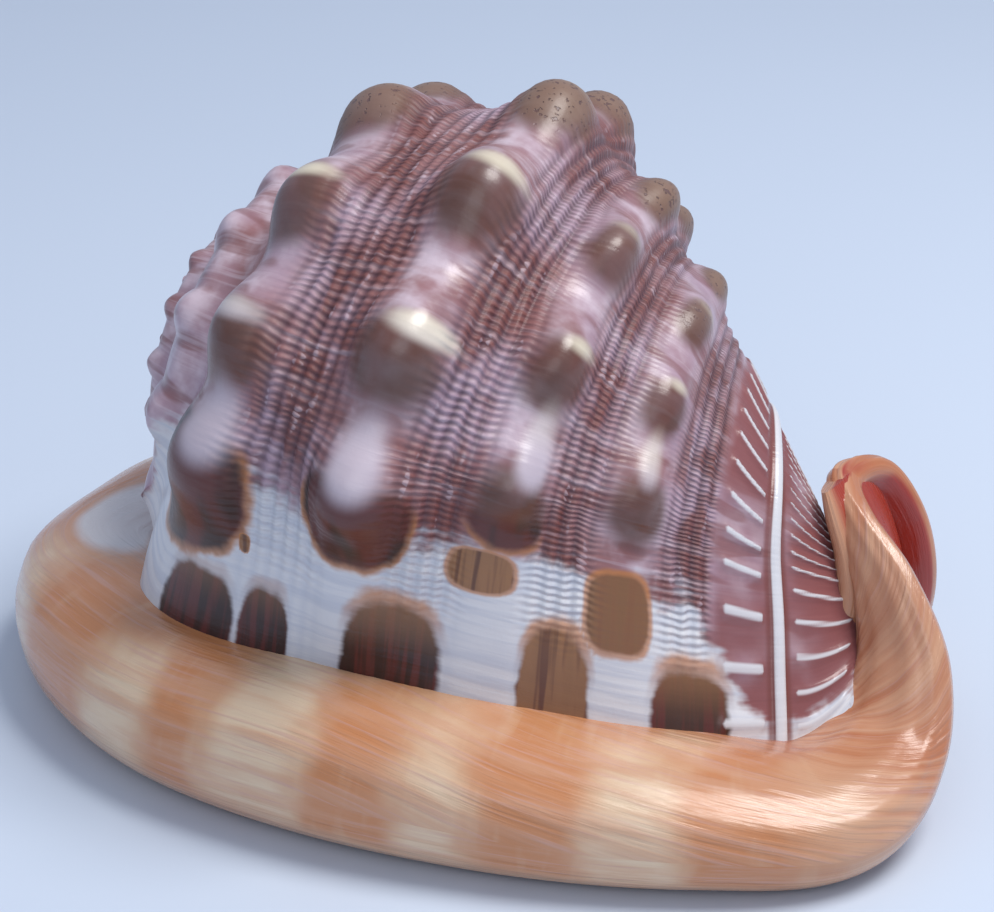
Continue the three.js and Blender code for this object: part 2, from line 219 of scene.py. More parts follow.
# The closing plate's rings, from the middle of its underside: reach and height.
PLATE = [(0, 2.2), (0.6, 1.8), (1, 0.6), (1, 8), (0.8, 16), (0.52, 26), (0, 32)]
PLATE_RISE = (9, 36, 52)  # height of its bent-up front, from and to along X
PLATE_LEAST = 2
PLATE_CENTRE = (-4, -4)
PLATE_FRONT = 52
INSIDE_FLOOR = 3
# The opening's stations: place along X, lip side, inner side and top.
SLOT = [
    (-51, -25.5, -24, 7), (-46, -32.5, -24.5, 9), (-36, -38, -25.5, 16), (-22, -41, -27, 24),
    (0, -41.5, -27.5, 26), (22, -37.5, -23.5, 25), (38, -30.5, -16, 22), (49, -22, -7, 17),
    (57, -13.5, 0.5, 13), (64, -9, 5, 12),
]
TOOTH_COUNT = 23
TOOTH_DEPTH = 2.1
TOOTHED_LENGTH = 112
TEETH_START = (0.03, 0.12)  # shares of the opening's length
TEETH_END = (0.8, 0.92)
FOLD_PITCH = 0.87  # the inner side's folds against the lip's teeth
SLOT_FOOT = -4
SLOT_WAIST = 7
WALL = 5.5
HOLLOW_FROM, HOLLOW_TO = -58, 205
HOLLOW_REAR, HOLLOW_FRONT = -38, 46
HOLLOW_CORE = 0.34
HOLLOW_LIP_LIMIT = -43
SHARP_ANGLE = math.radians(48)


def smooth(x, low, high):
    t = np.clip((np.asarray(x, float) - low) / (high - low), 0, 1)
    return t * t * (3 - 2 * t)


def ramp(x, change):
    """A change that comes in smoothly: how much, from and to."""
    amount, low, high = change
    return amount * smooth(x, low, high)


def curve(rows, t, closed=False):
    """A smooth curve through rows of numbers; a closed one runs round."""
    rows = np.asarray(rows, float)
    n = len(rows)
    t = np.asarray(t, float)
    s = (t % 1) * n if closed else np.clip(t, 0, 1) * (n - 1)
    k = np.floor(s).astype(int)
    if not closed:
        k = np.minimum(k, n - 2)
    w = (s - k)[..., None]
    at = (lambda i: rows[i % n]) if closed else (lambda i: rows[np.clip(i, 0, n - 1)])
    p, a, b, q = at(k - 1), at(k), at(k + 1), at(k + 2)
    return a + 0.5 * w * (b - p + w * (2 * p - 5 * a + 4 * b - q + w * (3 * (a - b) + q - p)))


def grain(points, scale, seed=0.0):
    """Smooth noise from -1 to 1 at each point."""
    flat = np.asarray(points).reshape(-1, 3) * scale + seed
    values = [noise.noise(Vector(p)) for p in flat.tolist()]
    return np.array(values).reshape(np.asarray(points).shape[:-1])


def coiled(deg):
    """Degrees of coiling, which fall back by a whole turn over the opening."""
    turn = np.where(deg < OPENING_END - 360, deg + 360, deg)
    return turn - 360 * smooth(turn, OPENING_START, OPENING_END)


def growth(deg):
    return WHORL_GROWTH ** (-coiled(deg) / 360)


def place(x, radius, deg):
    """From the coil's frame (along its axis, radius, degrees) to the shell's."""
    a = np.radians(deg)
    px, py, pz = np.broadcast_arrays(x, -radius * np.cos(a), radius * np.sin(a))
    qx = px * math.cos(AXIS_YAW) - py * math.sin(AXIS_YAW)
    qy = px * math.sin(AXIS_YAW) + py * math.cos(AXIS_YAW)
    rx = qx * math.cos(AXIS_DIP) + pz * math.sin(AXIS_DIP)
    rz = -qx * math.sin(AXIS_DIP) + pz * math.cos(AXIS_DIP)
    return np.stack([rx, qy, rz + AXIS_HEIGHT], -1)


def lead(x):
    """How far the coil runs along its axis in half a turn."""
    return ramp(x, REAR_LEAD) + ramp(x, FRONT_LEAD)


def body_base(x, lip_radius, deg):
    return place(x - lead(x) * coiled(deg) / 180, np.maximum(lip_radius, 0) * growth(deg), deg)


def foot_at(x):
    """Where the flared side of the last whorl lands on the lip."""
    foot_x = x - FOOT_SPREAD_REAR * (1 - smooth(x, FLARE_FULL[0], FOOT_MIDDLE))
    foot_x = foot_x + ramp(x, FOOT_SPREAD_FRONT) - ramp(x, TIP_SPREAD)
    reach = np.where(foot_x < FOOT_MIDDLE, FOOT_REAR, FOOT_FRONT)
    share = np.minimum(np.abs(foot_x - FOOT_MIDDLE) / reach, 1)
    y = -FOOT_DEPTH * (1 - share**FOOT_ROUNDNESS) ** (1 / FOOT_ROUNDNESS)
    rise, low, high = FOOT_RISE_REAR
    z = FOOT_HEIGHT - ramp(foot_x, FOOT_DROP_FRONT) + rise * (1 - smooth(foot_x, low, high))
    return np.stack([foot_x, y, z + ramp(foot_x, FOOT_RISE_CANAL)], -1)


def flared(x, lip_radius, deg):
    """The last whorl with its side run out on to the lip."""
    plain = body_base(x, lip_radius, deg)
    share = smooth(x, *FLARE_FULL)
    share = (share * (deg < FLARE_FROM))[..., None]
    end = foot_at(x)
    start = body_base(x, lip_radius, np.full_like(deg, FLARE_FROM))
    pull = body_base(x, lip_radius, np.full_like(deg, FLARE_FROM - 1)) - start
    span = FLARE_FROM - FLARE_TO
    land = FLARE_LANDING * np.linalg.norm(start - end, axis=-1, keepdims=True)
    w = np.clip((FLARE_FROM - deg) / span, 0, 1)[..., None]
    bent = start * (2 * w**3 - 3 * w**2 + 1) + pull * (w**3 - 2 * w**2 + w) * span * FLARE_PULL
    bent = bent + end * (3 * w**2 - 2 * w**3) + land * (w**3 - w**2)
    under = body_base(x, lip_radius, np.full_like(deg, BODY_FROM))
    w = np.clip((FLARE_TO - deg) / (FLARE_TO - BODY_FROM), 0, 1)[..., None]
    bent = np.where((deg > FLARE_TO)[..., None], bent, end * (1 - w) + under * w)
    return plain * (1 - share) + bent * share


def knob_fields(x, radius, deg):
    """Height of the knobs, and the fields that colour them."""
    random = np.random.default_rng(7)
    lift = np.zeros_like(x)
    cap = np.full_like(x, -1.0)
    core = np.zeros_like(x)
    angle = FIRST_KNOB
    for k in range(KNOBS):
        look = CRESCENT_CAP if k == 0 else OVAL_CAP
        for at, slant, height, along, across in KNOB_ROWS:
            size = height * random.uniform(0.92, 1.08)
            a = np.radians(deg - angle - slant) * radius
            b = x - at
            reach = np.where(a > 0, along * KNOB_UPPER_REACH, along)
            q = (a / reach) ** 2 + (b / across) ** 2
            lift = lift + size * np.exp(-(np.minimum(q, 9) ** KNOB_FALL))
            oval = (np.abs(a + look["back"] * along) / (look["tall"] * along)) ** CAP_ROUNDNESS
            oval = oval + (np.abs(b) / (look["wide"] * across)) ** CAP_ROUNDNESS
            cap = np.maximum(cap, 1 - oval ** (1 / CAP_ROUNDNESS))
            # the light core on the knob's upper side: partly pale shell, partly a painted
            # highlight
            bow = a + look["bow"] * b * b
            ahead = look["ahead"] * along
            bow = bow - look["past"] * np.maximum(bow - ahead, 0)
            side = 0.3 * across * random.uniform(-0.4, 1.0)
            core_highlight = ((bow - ahead) / (look["deep"] * along)) ** 2
            core_highlight = core_highlight + ((b - side) / (look["narrow"] * across)) ** 2
            core = np.maximum(core, np.exp(-core_highlight) * random.uniform(0.6, 1.0))
        angle += KNOB_PITCHES[min(k, len(KNOB_PITCHES) - 1)]
    fade = 1 - smooth(deg, *KNOBS_END)
    return lift * fade, cap, core * fade


def spire_lift(x, radius, deg):
    """The stepped, knobbed whorls of the spire."""
    at, shoulder = SHOULDER
    turns = np.log(shoulder / np.maximum(radius, 2)) / math.log(WHORL_GROWTH) - deg / 360
    part = turns - np.floor(turns)
    bulge = smooth(part, 0, SPIRE_BULGE_AT) * (1 - smooth(part, SPIRE_BULGE_AT, 1))
    knob = np.maximum(0, np.cos(np.radians(deg * 360 / SPIRE_KNOB_PITCH)))
    fade = (1 - smooth(radius / (shoulder * growth(deg)), 0.85, 1.05)) * smooth(radius, 2, 7)
    return np.where(x < at + 4, fade * radius * bulge * (SPIRE_STEP + SPIRE_KNOB * knob), 0)


def cord_mask(x):
    """1 in the bands of cords between the keels, 0 on the keels and beyond the bands."""
    keels = sum(np.exp(-(((x - row[0]) / KEEL_HALF) ** 4)) for row in KNOB_ROWS)
    ends = smooth(x, CORDS_FROM, CORDS_FROM + 4) * (1 - smooth(x, CORDS_TO - 1.5, CORDS_TO))
    return np.clip(1 - keels, 0, 1) * ends


def rib_crest(x, deg):
    """The two rows of short ribs at the canal end: height in millimetres, crest from 0 to 1."""
    height = np.zeros_like(x)
    crest = np.zeros_like(x)
    for low, high, pitch, tall in RIBS:
        slant = ramp(deg, RIB_LEAN) * (x - (low + high) / 2)
        part = ((deg - slant) / pitch) % 1 - 0.5
        ridge = np.exp(-((part / RIB_HALF) ** 2))
        within = smooth(x, low, low + 1) * (1 - smooth(x, high - 0.9, high))
        within = within * smooth(deg, *RIBS_START)
        height = height + tall * ridge * within
        crest = np.maximum(crest, ridge * within)
    return height, crest


def marks(x, deg):
    """How deep a point is in a dark mark, how tan that mark is, and how pale the ground."""
    depth = np.full_like(x, -1.0)
    tan = np.zeros_like(x)
    for at, half_x, level, half_deg, share in BLOTCHES:
        q = (np.abs(x - at) / half_x) ** BLOTCH_ROUNDNESS
        q = q + (np.abs(deg - level) / half_deg) ** BLOTCH_ROUNDNESS
        inside = 1 - np.minimum(q, 1e3) ** (1 / BLOTCH_ROUNDNESS)
        tan = np.where(inside > depth, share, tan)
        depth = np.maximum(depth, inside)
    edge = PALE_EDGE - ramp(x, PALE_EDGE_DROP)
    pale = np.clip((edge - deg) / PALE_SOFTNESS + 0.5, 0, 1) * smooth(x, *PALE_REAR)
    return depth, tan, pale


def closed_grid(name, points, fields, material, ring=False):
    """A closed mesh from a grid that runs round in its first direction. The second runs from
    pole to pole, or round too when ring is true. Fields are kept on the corners."""
    nu, nv = points.shape[0] - 1, points.shape[1] - 1
    rows = range(nv) if ring else range(1, nv)
    first = 0 if ring else 1
    count = len(rows)
    verts = points[:nu, first:first + count].reshape(-1, 3)
    i, j = np.meshgrid(np.arange(nu), np.arange(count if ring else count - 1), indexing="ij")
    i, j = i.ravel(), j.ravel()
    corners = [(i, j), (i + 1, j), (i + 1, j + 1), (i, j + 1)]
    quads = np.stack([(a % nu) * count + b % count for a, b in corners], -1)
    keys = np.stack([a * (nv + 1) + b + first for a, b in corners], -1)
    loops, corner_keys, sizes = [quads.ravel()], [keys.ravel()], [np.full(len(quads), 4)]
    if not ring:
        low, high = points[:, 0].mean(0), points[:, -1].mean(0)
        verts = np.vstack([verts, low, high])
        n = nu * count
        k = np.arange(nu)
        caps = np.stack([np.full(nu, n), ((k + 1) % nu) * count, k * count], -1)
        tails = np.stack([np.full(nu, n + 1), k * count + count - 1,
                          ((k + 1) % nu) * count + count - 1], -1)
        cap_keys = np.stack([k * (nv + 1), (k + 1) * (nv + 1) + 1, k * (nv + 1) + 1], -1)
        tail_keys = np.stack([k * (nv + 1) + nv, k * (nv + 1) + nv - 1,
                              (k + 1) * (nv + 1) + nv - 1], -1)
        loops += [caps.ravel(), tails.ravel()]
        corner_keys += [cap_keys.ravel(), tail_keys.ravel()]
        sizes += [np.full(2 * nu, 3)]
    loops, corner_keys = np.concatenate(loops), np.concatenate(corner_keys)
    sizes = np.concatenate(sizes)
    mesh = bpy.data.meshes.new(name)
    mesh.vertices.add(len(verts))
    mesh.vertices.foreach_set("co", ((verts + ORIGIN_SHIFT) * MM).astype(np.float32).ravel())
    mesh.loops.add(len(loops))
    mesh.loops.foreach_set("vertex_index", loops.astype(np.int32))
    mesh.polygons.add(len(sizes))
    starts = np.concatenate([[0], np.cumsum(sizes)[:-1]])
    mesh.polygons.foreach_set("loop_start", starts.astype(np.int32))
    mesh.update(calc_edges=True)
    mesh.validate()
    for label, values in fields.items():
        layer = mesh.attributes.new(label, "FLOAT_VECTOR", "CORNER")
        flat = values.reshape(-1, 3)[corner_keys].astype(np.float32)
        layer.data.foreach_set("vector", flat.ravel())
    mesh.materials.append(material)
    piece = bpy.data.objects.new(name, mesh)
    bpy.context.scene.collection.objects.link(piece)
    turn_out(mesh)
    return piece


def turn_out(mesh):
    """Faces point out of the closed mesh."""
    mesh.calc_loop_triangles()
    co = np.empty(len(mesh.vertices) * 3, np.float32)
    mesh.vertices.foreach_get("co", co)
    tri = np.empty(len(mesh.loop_triangles) * 3, np.int32)
    mesh.loop_triangles.foreach_get("vertices", tri)
    a, b, c = co.reshape(-1, 3)[tri.reshape(-1, 3)].astype(float).transpose(1, 0, 2)
    if np.einsum("ij,ij->i", a, np.cross(b, c)).sum() < 0:
        mesh.flip_normals()


def field(*parts):
    """Three numbers at each point, for a material to read."""
    return np.stack(np.broadcast_arrays(*parts), -1)


# ---- the last whorl and the spire ----
def uneven(parts):
    """Values that run through stretches: (start,), then (end, step) for each."""
    values = [parts[0][0]]
    for end, step in parts[1:]:
        count = max(1, round((end - values[-1]) / step))
        values += list(np.linspace(values[-1], end, count + 1)[1:])
    return np.array(values)


def profile_table():
    """The profile's place along the axis, radius and length so far, in small steps."""
    x, r = curve(PROFILE, np.linspace(0, 1, 6001)).T
    run = np.concatenate([[0], np.cumsum(np.hypot(np.diff(x), np.diff(r)))])
    return x, r, run


def body_rows():
    """Places along the profile, closer where there are cords, ribs and the white line."""
    x, r, run = profile_table()
    step = 0.85 - 0.45 * cord_mask(x)
    step = np.where(x > 45, 0.55, step)
    step = np.where(np.abs(x - LINE_AT) < 1.8, 0.28, step)
    count = np.concatenate([[0], np.cumsum(np.diff(run) / step[1:])])
    at = np.interp(np.linspace(0, count[-1], int(count[-1]) + 1), count, run)
    return np.interp(at, run, x), np.interp(at, run, r), at


def body_piece(material):
    deg = uneven([(BODY_FROM,), (-36, 4), (112, 1.05), (250, 1.9), (BODY_TO, 5)])
    x, r, run = body_rows()
    deg, x = np.meshgrid(deg, x, indexing="ij")
    r = np.broadcast_to(r, x.shape)
    run = np.broadcast_to(run, x.shape)
    radius = np.maximum(r, 0) * growth(deg)
    base = flared(x, r, deg)
    knob, cap, core = knob_fields(x, radius, deg)
    ribs, crest = rib_crest(x, deg)
    keel = sum(
        KEEL_HEIGHT * min(height / KEEL_FULL_KNOB, 1) * np.exp(-(((x - at) / KEEL_HALF) ** 4))
        for at, _, height, _, _ in KNOB_ROWS
    )
    cords = cord_mask(x)
    wave = np.cos(2 * np.pi * run / CORD_PITCH)
    cord = CORD_HEIGHT * cords * (wave + 0.25 * grain(base, 0.12))
    cord = cord * (1 - ramp(-deg, CORD_FADE))
    line = np.exp(-(((x - LINE_AT) / LINE_HALF) ** 4)) * smooth(deg, *LINE_START)
    upper = smooth(deg, *UPPER_START)
    lift = knob + spire_lift(x, radius, deg) + (keel * upper + cord) + ribs
    lift = lift + LINE_HEIGHT * line + UNEVENNESS * grain(base, 0.07, 5.0)
    lift = lift * smooth(r, 0.5, 5)
    du = np.gradient(base, axis=0)
    dv = np.gradient(base, axis=1)
    normal = np.cross(du, dv)
    normal /= np.maximum(np.linalg.norm(normal, axis=-1, keepdims=True), 1e-9)
    middle = np.array([0, 0, AXIS_HEIGHT])
    if np.einsum("ijk,ijk->ij", normal, base - middle).mean() < 0:
        normal = -normal
    points = base + normal * lift[..., None]
    points[..., 2] = np.maximum(points[..., 2], INSIDE_FLOOR)
    depth, tan, pale = marks(x, deg)
    topness = smooth(deg, 48, 100)
    fields = {
        "coil": field(deg / 100, run / 100, x / 100),
        "knob": field(cap, core, topness),
        "mark": field(depth, tan, pale),
        "relief": field(cords, crest, line),
    }
    return closed_grid("body", points, fields, material)


# ---- the lip and canal walls ----
def roll_centre(v):
    """The roll's middle line, and the numbers of its stations."""
    rows = curve(ROLL, v, True)
    centre = rows[..., :3].copy()
    centre[..., 2] += ROLL_REST * rows[..., 7]
    return centre, rows


def roll_piece(material):
    v = np.linspace(0, 1, 401)
    u = np.linspace(0, 1, 45)
    u, v = np.meshgrid(u, v, indexing="ij")
    centre, rows = roll_centre(v)
    tangent = roll_centre(v + 0.004)[0] - roll_centre(v - 0.004)[0]
    tangent /= np.linalg.norm(tangent, axis=-1, keepdims=True)
    out = rows[..., 3:6]
    out = out - tangent * (out * tangent).sum(-1, keepdims=True)
    out /= np.linalg.norm(out, axis=-1, keepdims=True)
    up = np.cross(out, tangent)
    wide, thick = rows[..., 6], rows[..., 7]
    angle = u * 2 * np.pi
    full = lambda w: np.sign(w) * np.abs(w) ** ROLL_SQUARENESS
    station = v * len(ROLL)
    canal = 1 - smooth(station, *CANAL_WALL_END) + smooth(station, *CANAL_WALL_START)
    wander = 0.6 * np.sin(station * 0.7)
    ridges = np.cos(angle * LIP_RIDGES + wander) * (0.1 + 0.22 * canal)
    ridges = ridges * np.minimum(thick / 8, 1) * smooth(-np.sin(angle), -0.35, 0.1)
    points = centre + out * ((wide + ridges) * full(np.cos(angle)))[..., None]
    points = points + up * ((thick + ridges) * full(np.sin(angle)))[..., None]
    points = points + (out - up) * (0.22 * grain(points, 0.06, 9.0))[..., None]
    points[..., 2] = np.maximum(points[..., 2], 0)
    points[-1], points[:, -1] = points[0], points[:, 0]
    along = np.concatenate([[0], np.cumsum(np.linalg.norm(np.diff(centre[0], axis=0), axis=1))])
    around = u * 2 * np.pi * np.sqrt((wide**2 + thick**2) / 2)
    facing = np.cross(np.gradient(points, axis=0), np.gradient(points, axis=1))
    facing /= np.maximum(np.linalg.norm(facing, axis=-1, keepdims=True), 1e-9)
    facing *= np.sign((facing * (points - centre)).sum(-1, keepdims=True))
    at, lean, level = CANAL_MIDDLE
    z = points[..., 2]
    middle = np.stack([at + lean * (z - level), 0 * wide, z], -1) - points
    middle /= np.maximum(np.linalg.norm(middle, axis=-1, keepdims=True), 1e-9)
    inner = smooth((facing * middle).sum(-1), 0.0, 0.45) * canal
    face = smooth(np.cos(angle), -0.3, 0.6)
    band = np.cos(2 * np.pi * (centre[..., 0] - LIP_BAND_AT) / LIP_BAND_PITCH)
    orange = 0.62 + 0.5 * band * face
    orange = orange + 0.45 * smooth(-centre[..., 0], 38, 56) * smooth(-centre[..., 1], -5, 20)
    shield = smooth(np.sin(angle), 0.25, 0.6)
    stain = 1 - ((station - STAIN_STATION[0]) / STAIN_STATION[1]) ** 2
    stain = stain - ((u - STAIN_ROUND[0]) / STAIN_ROUND[1]) ** 2
    fields = {
        "lip": field(along / 100, around / 100, orange),
        "canal": field(canal, inner, shield),
        "stain": field(np.maximum(stain, -9), 0, 0),
    }
    return closed_grid("roll", points, fields, material, ring=True)


def neck_piece(material):
    v = np.linspace(0, 1, 81)
    u, v = np.meshgrid(np.linspace(0, 1, 49), v, indexing="ij")
    x, y, z, wide, thick = np.moveaxis(curve(NECK, v), -1, 0)
    step = curve(NECK, np.minimum(v + 0.01, 1)) - curve(NECK, np.maximum(v - 0.01, 0))
    length = np.hypot(step[..., 0], step[..., 2])
    size = np.where((v == 0) | (v == 1), 0, 1)
    angle = u * 2 * np.pi
    up = thick * np.sin(angle) * size
    points = np.stack([
        x - step[..., 2] / length * up,
        y + wide * np.cos(angle) * size,
        np.maximum(z + step[..., 0] / length * up, INSIDE_FLOOR),
    ], -1)
    red = smooth(v, 0.45, 0.7) * smooth(-np.sin(angle), 0.25, 0.65)
    return closed_grid("neck", points, {"lip": field(v, u, red)}, material)


def plate_piece(material):
    u, ring = np.meshgrid(np.linspace(0, 1, 181), np.arange(len(PLATE)), indexing="ij")
    x, y, _ = np.moveaxis(roll_centre(u)[0], -1, 0)
    reach, height = np.moveaxis(np.asarray(PLATE, float)[ring], -1, 0)
    below = ring < len(PLATE) // 2
    px = PLATE_CENTRE[0] + (np.minimum(x, PLATE_FRONT) - PLATE_CENTRE[0]) * reach
    py = PLATE_CENTRE[1] + (y - PLATE_CENTRE[1]) * reach
    rise = ramp(px, PLATE_RISE)
    height = np.maximum(height, np.where(below, rise, rise + PLATE_LEAST))
    points = np.stack([px, py, height], -1)
    return closed_grid("plate", points, {"lip": field(px / 100, py / 100, below)}, material)


# ---- the toothed opening and the hollow ----
def slot_piece(material):
    k, v = np.meshgrid(np.arange(9), np.linspace(0, 1, 421), indexing="ij")
    t = np.clip((v - 0.02) / 0.96, 0, 1)
    x, lip, inner, top = np.moveaxis(curve(SLOT, t), -1, 0)
    fade = smooth(t, *TEETH_START) * (1 - smooth(t, *TEETH_END))
    phase = (x - SLOT[0][0]) / TOOTHED_LENGTH * TOOTH_COUNT * 2 * np.pi
    bite = TOOTH_DEPTH * (0.5 - 0.5 * np.cos(phase)) ** 0.7 * fade
    fold = 0.7 * TOOTH_DEPTH * (0.5 + 0.5 * np.cos(phase * FOLD_PITCH)) * fade
    low = np.minimum(SLOT_WAIST, top - 2)
    # the cross-section's corners, up the lip's side and down the inner side
    ys = [lip - 1.5 - bite, lip - bite * 0.2, lip + bite, lip - 1, inner + 1, inner - fold,
          inner - fold * 0.5, inner + 1.5]
    foot = SLOT_FOOT + 0 * x
    zs = [foot, 0 * x, low, top, top, low, 0 * x, foot]
    y = np.choose(k % 8, ys)
    z = np.choose(k % 8, zs)
    end = (v == 0) | (v == 1)
    y = np.where(end, (lip + inner) / 2, y)
    z = np.where(end, top / 2 - 2, z)
    crest = 0.5 - 0.5 * np.cos(phase)
    values = field(crest * fade, np.clip(z / 12, 0, 1), 0)
    return closed_grid("slot", np.stack([x, y, z], -1), {"slot": values}, material)


def hollow_piece(material):
    u, v = np.meshgrid(np.linspace(0, 1, 97), np.linspace(0, 1, 49), indexing="ij")
    x = HOLLOW_REAR + (HOLLOW_FRONT - HOLLOW_REAR) * v
    table_x, table_r, _ = profile_table()
    r = np.interp(x, table_x, table_r)
    half = u < 0.5
    w = np.where(half, u * 2, (1 - u) * 2)
    round_off = np.sqrt(np.maximum(1 - (2 * v - 1) ** 4, 0))
    deg = HOLLOW_FROM + (HOLLOW_TO - HOLLOW_FROM) * (0.5 + (w - 0.5) * round_off)
    outer = r * growth(deg) - WALL
    pinch = round_off * np.sqrt(np.maximum(1 - (2 * w - 1) ** 4, 0))
    middle = (outer + r * HOLLOW_CORE) / 2
    reach = (outer - r * HOLLOW_CORE) / 2 * pinch
    radius = np.where(half, middle + reach, middle - reach)
    points = place(x - lead(x) * coiled(deg) / 180, radius, deg)
    points[..., 1] = np.maximum(points[..., 1], HOLLOW_LIP_LIMIT)
    points[-1] = points[0]
    return closed_grid("hollow", points, {"slot": field(0 * x, 1, 0)}, material)


def combine(target, tool, operation):
    """Joins the tool to the target or cuts it away, and removes the tool."""
    bpy.context.view_layer.update()
    change = target.modifiers.new("combine", "BOOLEAN")
    change.object = tool
    change.operation = operation
    change.solver = "MANIFOLD"
    if hasattr(change, "material_mode"):
        change.material_mode = "TRANSFER"
    graph = bpy.context.evaluated_depsgraph_get()
    made = bpy.data.meshes.new_from_object(target.evaluated_get(graph))
    target.modifiers.clear()
    target.data = made
    bpy.data.objects.remove(tool)


# ---- materials ----
LILAC = (0.42, 0.285, 0.35, 1)
LILAC_PALE = (0.62, 0.50, 0.56, 1)
KNOB_WHITE = (0.56, 0.48, 0.54, 1)
PINK_BROWN = (0.30, 0.135, 0.135, 1)
FLAT_RED = (0.25, 0.085, 0.085, 1)
RED_BROWN = (0.19, 0.055, 0.045, 1)
# dark colour painted as shade in the grooves between the beads and in the pits
GROOVE_SHADE = (0.07, 0.03, 0.045, 1)
WHITE = (0.70, 0.69, 0.71, 1)
WHITE_GREY = (0.50, 0.52, 0.60, 1)
BLUE_GREY = (0.30, 0.32, 0.40, 1)
CREAM = (0.80, 0.72, 0.55, 1)
DARK_BROWN = (0.030, 0.010, 0.008, 1)
MAROON = (0.10, 0.018, 0.015, 1)
OLIVE = (0.125, 0.048, 0.024, 1)
WORN_OLIVE = (0.25, 0.155, 0.105, 1)
TAN = (0.30, 0.14, 0.06, 1)
ORANGE_EDGE = (0.50, 0.19, 0.05, 1)
PEACH = (0.60, 0.31, 0.18, 1)
LIP_ORANGE = (0.55, 0.22, 0.085, 1)
LIP_CREAM = (0.74, 0.55, 0.37, 1)
LIP_PINK = (0.58, 0.33, 0.27, 1)
CANAL_ORANGE = (0.45, 0.15, 0.065, 1)
CANAL_RED = (0.34, 0.018, 0.010, 1)
SALMON = (0.66, 0.27, 0.14, 1)
INSIDE = (0.30, 0.10, 0.05, 1)


class Graph:
    """A material's nodes, built by small calls that give back the socket they make."""

    def __init__(self, name):
        self.material = bpy.data.materials.new(name)
        self.material.use_nodes = True
        self.tree = self.material.node_tree
        self.shader = self.tree.nodes["Principled BSDF"]

    def node(self, kind, inputs, output=0, **settings):
        made = self.tree.nodes.new(kind)
        for key, value in settings.items():
            setattr(made, key, value)
        for key, value in inputs.items():
            if isinstance(value, bpy.types.NodeSocket):
                self.tree.links.new(value, made.inputs[key])
            else:
                made.inputs[key].default_value = value
        return made.outputs[output]

    def calc(self, operation, a, b=0.0, c=0.0):
        return self.node("ShaderNodeMath", {0: a, 1: b, 2: c}, operation=operation)

    def add(self, a, b):
        return self.calc("ADD", a, b)

    def times(self, a, b):
        return self.calc("MULTIPLY", a, b)

    def less(self, a):
        return self.calc("SUBTRACT", 1.0, a)

    def step(self, value, low, high):
        inputs = {"Value": value, "From Min": low, "From Max": high}
        return self.node("ShaderNodeMapRange", inputs, interpolation_type="SMOOTHSTEP")

    def blend(self, factor, a, b):
        return self.node("ShaderNodeMix", {0: factor, 6: a, 7: b}, 2, data_type="RGBA")

    def parts(self, name, scale=1.0):
        """The three numbers of a field on the mesh."""
        vector = self.node("ShaderNodeAttribute", {}, 1, attribute_name=name)
        split = self.tree.nodes.new("ShaderNodeSeparateXYZ")
        self.tree.links.new(vector, split.inputs[0])
        return [self.times(part, scale) if scale != 1 else part for part in split.outputs]

    def place(self):
        return self.node("ShaderNodeTexCoord", {}, 3)

    def vector(self, x=0.0, y=0.0, z=0.0):
        return self.node("ShaderNodeCombineXYZ", {0: x, 1: y, 2: z})

    def noise(self, vector, scale, detail=3.0, roughness=0.5):
        inputs = {"Vector": vector, "Scale": scale, "Detail": detail, "Roughness": roughness}
        return self.node("ShaderNodeTexNoise", inputs)

    def ripple(self, value, pitch, shift=0.0):
        """A wave from 0 to 1 with that pitch."""
        turned = self.calc("MULTIPLY_ADD", value, 2 * math.pi / pitch, shift)
        return self.calc("MULTIPLY_ADD", self.calc("COSINE", turned), 0.5, 0.5)

    def finish(self, colour, roughness, height, depth, coat=0.25):
        bump = self.node("ShaderNodeBump", {"Height": height, "Distance": depth * MM})
        self.tree.links.new(colour, self.shader.inputs["Base Color"])
        self.tree.links.new(roughness, self.shader.inputs["Roughness"])
        self.tree.links.new(bump, self.shader.inputs["Normal"])
        self.shader.inputs["Coat Weight"].default_value = coat
        self.shader.inputs["Coat Roughness"].default_value = 0.18
        self.shader.inputs["IOR"].default_value = 1.52
        return self.material


